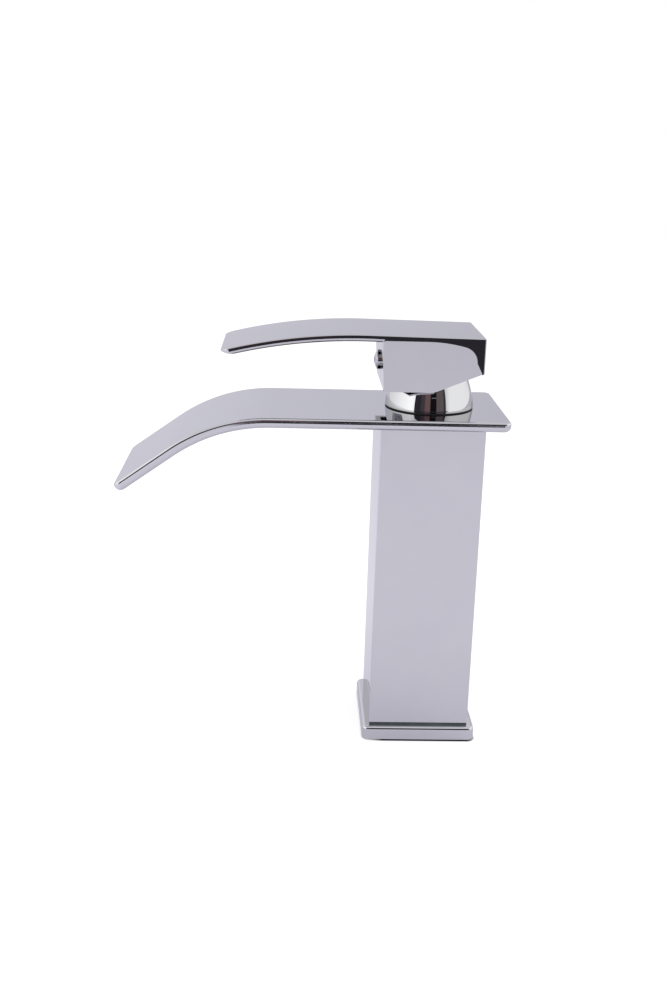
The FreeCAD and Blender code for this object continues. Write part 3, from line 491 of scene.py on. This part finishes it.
# Bell cap. Turned from brass bar and chrome plated, it screws on the neck and covers the
# cartridge. A black rubber ring under its foot keeps water out.
cap_ring_height = 0.5           # mm
cap_ring_inset = 0.3
cap_ring_round = 0.12
bell_foot = plate_top + cap_ring_height
bell_foot_radius = 18.9
bell_waist_radius = 17.78
bell_shoulder_radius = 15.4
bell_shoulder = plate_top + 13.9
bell_top_round = 1.5
mouth_radius = 13.0
ceiling = plate_top + 10.1
counterbore_top = plate_top + 3.0
bell_thread_radius = 15.05
bell_thread_depth = 0.3
bell_pitch = 1.0
bell_wall = 1.8
broken_edge = 0.12
side_steps, round_steps = 28, 12
bell_facets = 180


def arc_through(a, b, c, steps):
    """Points on the arc through three points of a half section, and the angle it ends at."""
    (x1, z1), (x2, z2), (x3, z3) = a, b, c
    twice = 2 * (x1 * (z2 - z3) + x2 * (z3 - z1) + x3 * (z1 - z2))
    s1, s2, s3 = x1 * x1 + z1 * z1, x2 * x2 + z2 * z2, x3 * x3 + z3 * z3
    cx = (s1 * (z2 - z3) + s2 * (z3 - z1) + s3 * (z1 - z2)) / twice
    cz = (s1 * (x3 - x2) + s2 * (x1 - x3) + s3 * (x2 - x1)) / twice
    reach = math.hypot(x1 - cx, z1 - cz)
    start, end = math.atan2(z1 - cz, x1 - cx), math.atan2(z3 - cz, x3 - cx)
    turns = [start + (end - start) * step / steps for step in range(steps + 1)]
    return [(cx + reach * math.cos(t), cz + reach * math.sin(t)) for t in turns], end


outside, lean = arc_through((bell_foot_radius, bell_foot),
                            (bell_waist_radius, (bell_foot + bell_shoulder) / 2),
                            (bell_shoulder_radius, bell_shoulder), side_steps)
bell = [(bell_foot_radius - broken_edge * 1.3, bell_foot),
        (bell_foot_radius - broken_edge * 0.4, bell_foot + broken_edge * 0.35)] + outside[1:]
centre_x = bell_shoulder_radius - bell_top_round * math.cos(lean)
centre_z = bell_shoulder - bell_top_round * math.sin(lean)
for step in range(1, round_steps + 1):
    turn = lean + (math.pi / 2 - lean) * step / round_steps
    bell.append((centre_x + bell_top_round * math.cos(turn),
                 centre_z + bell_top_round * math.sin(turn)))
bell_top = centre_z + bell_top_round
bell += [(mouth_radius + broken_edge, bell_top), (mouth_radius, bell_top - broken_edge),
         (mouth_radius, ceiling), (bell_thread_radius, ceiling)]
for step in range(1, int((ceiling - counterbore_top) / bell_pitch * cuts)):
    bell.append((bell_thread_radius, ceiling - step * bell_pitch / cuts, bell_thread_depth))
bell += [(bell_thread_radius, counterbore_top), (bell_foot_radius - bell_wall, counterbore_top),
         (bell_foot_radius - bell_wall, bell_foot), bell[0]]
bell_cap = turned("bell_cap_turned", bell, chrome_on_brass, facets=bell_facets, pitch=bell_pitch)
ride(bell_cap, "tap_body", "chrome_outside", "bell_cap")
cap_ring = turned("bell_foot_ring",
                  round_bar(bell_foot_radius - bell_wall, bell_foot_radius - cap_ring_inset,
                            plate_top, bell_foot, cap_ring_round),
                  black_rubber, facets=bell_facets)
ride(cap_ring, "tap_body", "rubber", "cap_gasket")


# Cartridge body. Base, housing and turret are moulded in white acetal, which shows the mould's
# fine grain and a slight flow of tone. A brass ring nut presses the cartridge on its seat.

def moulded(name, pale, deep, smooth, rough):
    """Moulded plastic."""
    def colour(tree):
        return blend_of(tree, use(tree, film, Patch_Size=0.012)["Film"], pale, deep)

    def roughness(tree):
        patches = use(tree, film, Patch_Size=0.004)["Film"]
        rubbed = sum_of(tree, "MULTIPLY", use(tree, edges, Reach=0.0003, Break_Up=0.4)["Edge"],
                        -0.12)
        return sum_of(tree, "ADD", rescale(tree, patches, 0.0, 1.0, smooth, rough), rubbed)

    return surface(name, colour, roughness,
                   lambda tree: use(tree, grain, Grain_Size=0.0003)["Grain"], 0.000008)


white_acetal = moulded("white_acetal", (0.83, 0.82, 0.78, 1), (0.74, 0.73, 0.68, 1), 0.38, 0.55)
dress(white_acetal, "cartridge_base", "cartridge_housing", "stem_carrier")
dress(machined_brass, "cartridge_nut")


# Small seals of the cartridge: two under its base, three under the fixed disc and one round
# the housing. All are moulded rubber rings.
port_radius = 1.8               # mm
port_place = 3.8                # of each port from the axis, along X and along Y
outlet_radius = 3.0
outlet_place = 5.0
seal_wall = 0.9
seal_height = 1.0
seal_round = 0.3
base_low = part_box("cartridge_base")[0][2] * 1000
disc_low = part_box("fixed_disc")[0][2] * 1000


def seal(radius, low):
    """Half section of a small ring round a port."""
    return round_bar(radius, radius + seal_wall, low, low + seal_height, seal_round)


inlet_rings = turned("inlet_rings", seal(port_radius, base_low), black_rubber, facets=40, count=2,
                     first=(-port_place, -port_place, 0), following=(2 * port_place, 0, 0))
ride(inlet_rings, "tap_body", "rubber", "inlet_seals")
port_rings = turned("disc_port_rings", seal(port_radius, disc_low - seal_height), black_rubber,
                    facets=40, count=2, first=(-port_place, -port_place, 0),
                    following=(2 * port_place, 0, 0))
outlet_ring = turned("disc_outlet_ring", seal(outlet_radius, disc_low - seal_height),
                     black_rubber, facets=48, first=(0, outlet_place, 0))
ride(port_rings, "tap_body", "rubber", "disc_seals")
ride(outlet_ring, "tap_body", "rubber", "disc_seals")
housing_ring_inner = 11.4
housing_ring_outer = 12.45
housing_ring_round = 0.45
ring_low, ring_high = (corner[2] * 1000 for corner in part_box("housing_oring"))
housing_ring = turned("housing_ring",
                      round_bar(housing_ring_inner, housing_ring_outer, ring_low, ring_high,
                                housing_ring_round),
                      black_rubber, facets=ring_facets)
ride(housing_ring, "tap_body", "rubber", "housing_oring")


# Ceramic discs. Alumina, lapped flat so that two faces seal against each other. Lapping
# leaves a satin sheen with very fine circles.
alumina = machined("lapped_alumina", (0.88, 0.87, 0.84, 1), (0.80, 0.79, 0.75, 1), 0.14, 0.3,
                   0.00012, metallic=0.0, relief=0.0000004)
dress(alumina, "fixed_disc", "moving_disc")


# Slider. Moulded in blue-grey nylon, it carries the moving disc and takes the stem's ball in
# a pocket. It lies loose between the disc and the turret.
blue_nylon = moulded("blue_nylon", (0.12, 0.20, 0.35, 1), (0.09, 0.15, 0.28, 1), 0.35, 0.5)
dress(blue_nylon, "drive_plate")


# Stem and its pin. The stem is turned and milled brass and the pin is ground steel, held in
# the turret's cheeks.
dress(machined_brass, "stem")
ground_steel = machined("ground_steel", (0.58, 0.58, 0.59, 1), (0.48, 0.48, 0.5, 1), 0.16, 0.28,
                        0.0001)
dress(ground_steel, "pivot_pin")


# Lever. Cast in zinc with a hollow hub, ground, buffed and chrome plated. A grub screw
# behind the index button clamps it on the stem.
chrome_on_zinc = chrome("chrome_on_zinc", (0.50, 0.502, 0.512, 1), (0.49, 0.49, 0.504, 1),
                        0.02, 0.055)
dress(chrome_on_zinc, "lever_handle")
grub_radius = 2.5               # mm
grub_length = 6.0
grub_pitch = 0.8
grub_thread_depth = 0.35
grub_end = 0.35                 # plain length before and after the thread
grub_chamfer = 0.4
grub_key = 1.25
grub_front = -10.0              # Y of its face with the key
index_height = sum(corner[2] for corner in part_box("index_button")) * 500    # of its middle
grub = [(0, grub_length / 2, 0, 1), (grub_key, grub_length / 2, 0, 1), (grub_key, 0, 0, 1),
        (grub_radius - grub_thread_depth, 0)]
for step in range(int((grub_length - 2 * grub_end) / grub_pitch * cuts)):
    grub.append((grub_radius, grub_end + step * grub_pitch / cuts, -grub_thread_depth))
grub += [(grub_radius - grub_chamfer, grub_length), (0, grub_length)]
grub_screw = turned("grub_screw", grub, zinc_plate, facets=screw_facets, pitch=grub_pitch)
grub_screw.data.transform(Matrix.Translation((0, grub_front / 1000, index_height / 1000))
                          @ Matrix.Rotation(math.radians(-90), 4, "X"))
ride(grub_screw, "lever", "steel", "set_screw")


# Index button. A chromed plug in the hub's front with two halves of enamel, red for hot and
# blue for cold, poured in a shallow recess and domed by their own tension.
dress(chrome_on_zinc, "index_button")


def enamel(name, full, thin):
    """Poured enamel."""
    def colour(tree):
        return blend_of(tree, use(tree, film, Patch_Size=0.0012)["Film"], full, thin)

    def roughness(tree):
        return rescale(tree, use(tree, film, Patch_Size=0.002)["Film"], 0.0, 1.0, 0.3, 0.42)

    return surface(name, colour, roughness,
                   lambda tree: use(tree, grain, Grain_Size=0.0009)["Grain"], 0.00001,
                   Specular_IOR_Level=0.3)


dress(enamel("blue_enamel", (0.01, 0.08, 0.42, 1), (0.02, 0.12, 0.5, 1)), "cold_mark")
dress(enamel("red_enamel", (0.60, 0.02, 0.02, 1), (0.68, 0.05, 0.04, 1)), "hot_mark")


# The studio: a white table in a light tent. The table ends just behind the camera, where a
# dark striped card stands, and chrome shows both. None of it belongs to the object.

def sheet(name, corners, material):
    """Flat stage piece from its corners."""
    mesh = bpy.data.meshes.new(name)
    mesh.from_pydata(corners, [], [tuple(range(len(corners)))])
    mesh.materials.append(material)
    piece = bpy.data.objects.new(name, mesh)
    bpy.context.scene.collection.objects.link(piece)
    return piece


def glowing(name):
    """Starts a stage material and returns it with its tree and surface shader."""
    material = bpy.data.materials.new(name)
    material.use_nodes = True
    skin = material.node_tree.nodes["Principled BSDF"]
    skin.inputs["Specular IOR Level"].default_value = 0.0
    return material, material.node_tree, skin


def off_from(tree, value, middle):
    """Distance of a value from its middle."""
    return sum_of(tree, "ABSOLUTE", sum_of(tree, "SUBTRACT", value, middle))


def scaled(tree, colour, factor):
    """Makes a colour brighter or darker by a factor."""
    return put(tree, "VectorMath", {0: colour, "Scale": factor}, operation="SCALE").outputs[0]


# Table. As chrome sees it, its glow carries painted shade, a little darker round the foot, behind
# and at its end, and painted light, brighter towards the left lamp.
table_end = 0.63                # m
table_reach = 2.0
paint_white = (0.5, 0.5, 0.5, 1)
painted_gap_shade = (0.03, 0.028, 0.032, 1)
glow_seen = (0.62, 0.62, 0.62, 1)
glow_in_chrome = (0.385, 0.36, 0.475)
table_white, tree, skin = glowing("table_white")
path = put(tree, "LightPath").outputs
shown = path["Is Camera Ray"]
for label in ("Is Glossy Ray", "Is Transmission Ray"):
    shown = sum_of(tree, "ADD", shown, path[label], clamp=True)
skin.inputs["Roughness"].default_value = 0.9
spot = put(tree, "TexCoord").outputs["Object"]
distance = put(tree, "VectorMath", {0: spot}, operation="LENGTH").outputs[1]
apart = put(tree, "SeparateXYZ", {0: spot}).outputs
# Painted shade and light in the table's glow for chrome: darker near the foot, at the end and
# behind, lighter towards the left lamp.
painted_foot_shade = rescale(tree, distance, 0.03, 0.16, 0.95, 1.0)
painted_end_shade = rescale(tree, apart["X"], 0.42, 0.64, 1.0, 0.93)
aside = rescale(tree, apart["Y"], -0.1, -0.3, 1.0, 1.45)
behind = rescale(tree, apart["X"], -0.45, 0.0, 0.86, 1.0)
painted_light_level = sum_of(tree, "MULTIPLY", sum_of(tree, "MULTIPLY", painted_foot_shade, painted_end_shade),
               sum_of(tree, "MULTIPLY", aside, behind))

# Painted shade: a dark line is painted on the table round the foot, for the narrow gap under its
# rounded rim that no light reaches. At the line's front and back ends it is painted lighter, where
# the lamps at the sides shine in.
foot_low, foot_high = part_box("base_plate")
foot_corner = 0.003             # m
gap_dark, gap_clear = 0.0004, 0.0009                    # m beyond the foot's outline
gap_middle = 0.003              # m, Y of the line's middle
beyond = []
for axis in range(2):
    middle = (foot_low[axis] + foot_high[axis]) / 2
    half = (foot_high[axis] - foot_low[axis]) / 2
    past = sum_of(tree, "SUBTRACT", off_from(tree, apart["XY"[axis]], middle), half - foot_corner)
    beyond.append(sum_of(tree, "MAXIMUM", past, 0.0))
off_corner = put(tree, "CombineXYZ", dict(enumerate(beyond))).outputs[0]
off_foot = put(tree, "VectorMath", {0: off_corner}, operation="LENGTH").outputs[1]
clear = rescale(tree, off_foot, foot_corner + gap_dark, foot_corner + gap_clear)
painted_lamp_light_at_ends = rescale(tree, off_from(tree, apart["Y"], gap_middle), 0.019, 0.0255, 0.0, 0.9)
clear = sum_of(tree, "ADD", clear, painted_lamp_light_at_ends, clamp=True)
# The painted shade darkens the table's colour and blacks out its glow along the line.
tree.links.new(blend_of(tree, clear, painted_gap_shade, paint_white), skin.inputs["Base Color"])
glow = blend_of(tree, path["Is Glossy Ray"], glow_seen, scaled(tree, glow_in_chrome, painted_light_level))
glow = blend_of(tree, clear, (0.0, 0.0, 0.0, 1), glow)
tree.links.new(glow, skin.inputs["Emission Color"])
tree.links.new(shown, skin.inputs["Emission Strength"])
sheet("table", [(-table_reach, -table_reach, 0), (table_end, -table_reach, 0),
                (table_end, table_reach, 0), (-table_reach, table_reach, 0)], table_white)

# Card. Only chrome sees it. Its stripes run upwards, each from the place given to the next.
card_left, card_right, card_top = -0.60, 0.50, 0.56     # m
stripe_blur = 0.012
black = (0.04, 0.036, 0.045, 1)
stripes = [(-0.60, black), (-0.32, (0.08, 0.065, 0.08, 1)), (-0.185, (0.21, 0.125, 0.13, 1)),
           (-0.03, (0.012, 0.009, 0.01, 1)), (0.15, (0.17, 0.135, 0.14, 1)),
           (0.40, (0.06, 0.06, 0.06, 1))]
card_dark, tree, skin = glowing("card_dark")
apart = put(tree, "SeparateXYZ", {0: put(tree, "TexCoord").outputs["Object"]}).outputs
bands = put(tree, "ValToRGB", {0: rescale(tree, apart["Y"], card_left, card_right)})
ramp = bands.color_ramp
ramp.elements.remove(ramp.elements[1])
ramp.elements[0].color = black
for (_, before), (start, after) in zip(stripes, stripes[1:]):
    for place, colour in ((start - stripe_blur, before), (start + stripe_blur, after)):
        ramp.elements.new((place - card_left) / (card_right - card_left)).color = colour
# A paler strip across the stripes is what the foot's ledge shows. The card's foot is black.
strip_colour = (0.31, 0.38, 0.40, 1)
strip_place, strip_height = 0.077, 0.3295               # m, middle along Y and Z
pale = sum_of(tree, "MULTIPLY",
              rescale(tree, off_from(tree, apart["Z"], strip_height), 0.006, 0.003),
              rescale(tree, off_from(tree, apart["Y"], strip_place), 0.085, 0.055))
striped = blend_of(tree, pale, bands.outputs[0], strip_colour)
lower = rescale(tree, apart["Z"], 0.135, 0.115)
tree.links.new(blend_of(tree, lower, striped, black), skin.inputs["Emission Color"])
skin.inputs["Base Color"].default_value = (0, 0, 0, 1)
skin.inputs["Emission Strength"].default_value = 1.0
card = sheet("card", [(table_end, card_left, 0), (table_end, card_right, 0),
                      (table_end, card_right, card_top), (table_end, card_left, card_top)],
             card_dark)
card.visible_camera = False
card.visible_diffuse = False
card.visible_shadow = False
card.visible_transmission = False

# Light tent. Chrome sees its walls and lamps, the camera sees plain white.
wall_tint = (1.0, 0.99, 1.105)
roof_white = (0.95, 0.94, 1.0, 1)
right_lamp = (1.4, 1.4, 1.4, 1)
dark_room = (0.03, 0.025, 0.035, 1)
plain_light = (0.72, 0.72, 0.72, 1)
world = bpy.data.worlds.new("light_tent")
bpy.context.scene.world = world
world.use_nodes = True
tree = world.node_tree
path = put(tree, "LightPath").outputs
heading = put(tree, "SeparateXYZ", {0: put(tree, "TexCoord").outputs["Generated"]}).outputs
# The back wall is brighter to the left and higher up.
leftwards = rescale(tree, heading["Y"], -0.4, 0.4, 1.109, 0.749)
upwards = rescale(tree, heading["Z"], -0.1, 0.4, -0.145, 0.105)
wall = scaled(tree, wall_tint, sum_of(tree, "ADD", leftwards, upwards))
overhead = rescale(tree, heading["Z"], 0.32, 0.5)
wall = blend_of(tree, overhead, wall, roof_white)
# Lamps stand to the left and right of the tent. The left one is brighter towards the front.
aside = sum_of(tree, "ABSOLUTE", heading["Y"])
sides = put(tree, "MapRange", {"Value": aside, 1: 0.5, 2: 0.8},
            interpolation_type="SMOOTHSTEP").outputs[0]
left_lamp = rescale(tree, heading["X"], -0.5, 0.6, 1.22, 1.75)
lamps = blend_of(tree, rescale(tree, heading["Y"], -0.2, 0.2), left_lamp, right_lamp)
room = blend_of(tree, sides, wall, lamps)
# Below the table's end, behind the card, the room is dark.
front = rescale(tree, heading["X"], 0.7, 0.76)
below = rescale(tree, heading["Z"], -0.01, -0.03)
room = blend_of(tree, sum_of(tree, "MULTIPLY", front, below), room, dark_room)
shade = blend_of(tree, path["Is Glossy Ray"], plain_light, room)
seen = blend_of(tree, path["Is Camera Ray"], shade, (1, 1, 1, 1))
tree.links.new(seen, tree.nodes["Background"].inputs["Color"])

# Soft lamp over the tent's roof, for the shadow on the table. Chrome doesn't see it.
lamp = bpy.data.lights.new("ceiling_light", "AREA")
lamp.shape = "SQUARE"
lamp.size = 1.6                 # m
lamp.energy = 14.0              # W
ceiling_light = bpy.data.objects.new("ceiling_light", lamp)
ceiling_light.location = (0.1, -0.1, 1.4)
ceiling_light.visible_glossy = False
bpy.context.scene.collection.objects.link(ceiling_light)

# Camera at the photograph's viewing angle.
lens = bpy.data.cameras.new("camera")
lens.lens = 42.45               # mm
lens.sensor_width = 36.0
lens.clip_start = 0.01
camera = bpy.data.objects.new("camera", lens)
bpy.context.scene.collection.objects.link(camera)
bpy.context.scene.camera = camera
azimuth, elevation, roll = math.radians(87.73), math.radians(17.11), math.radians(1.661)
camera.location = (0.49514, -0.05960, 0.25646)
back = Vector((math.sin(azimuth) * math.cos(elevation), -math.cos(azimuth) * math.cos(elevation),
               math.sin(elevation)))
right = (-back).cross(Vector((0, 0, 1))).normalized()
up = right.cross(-back)
turned_right = right * math.cos(roll) + up * math.sin(roll)
turned_up = up * math.cos(roll) - right * math.sin(roll)
camera.rotation_euler = Matrix((turned_right, turned_up, back)).transposed().to_euler()

bpy.context.scene.view_settings.view_transform = "Standard"
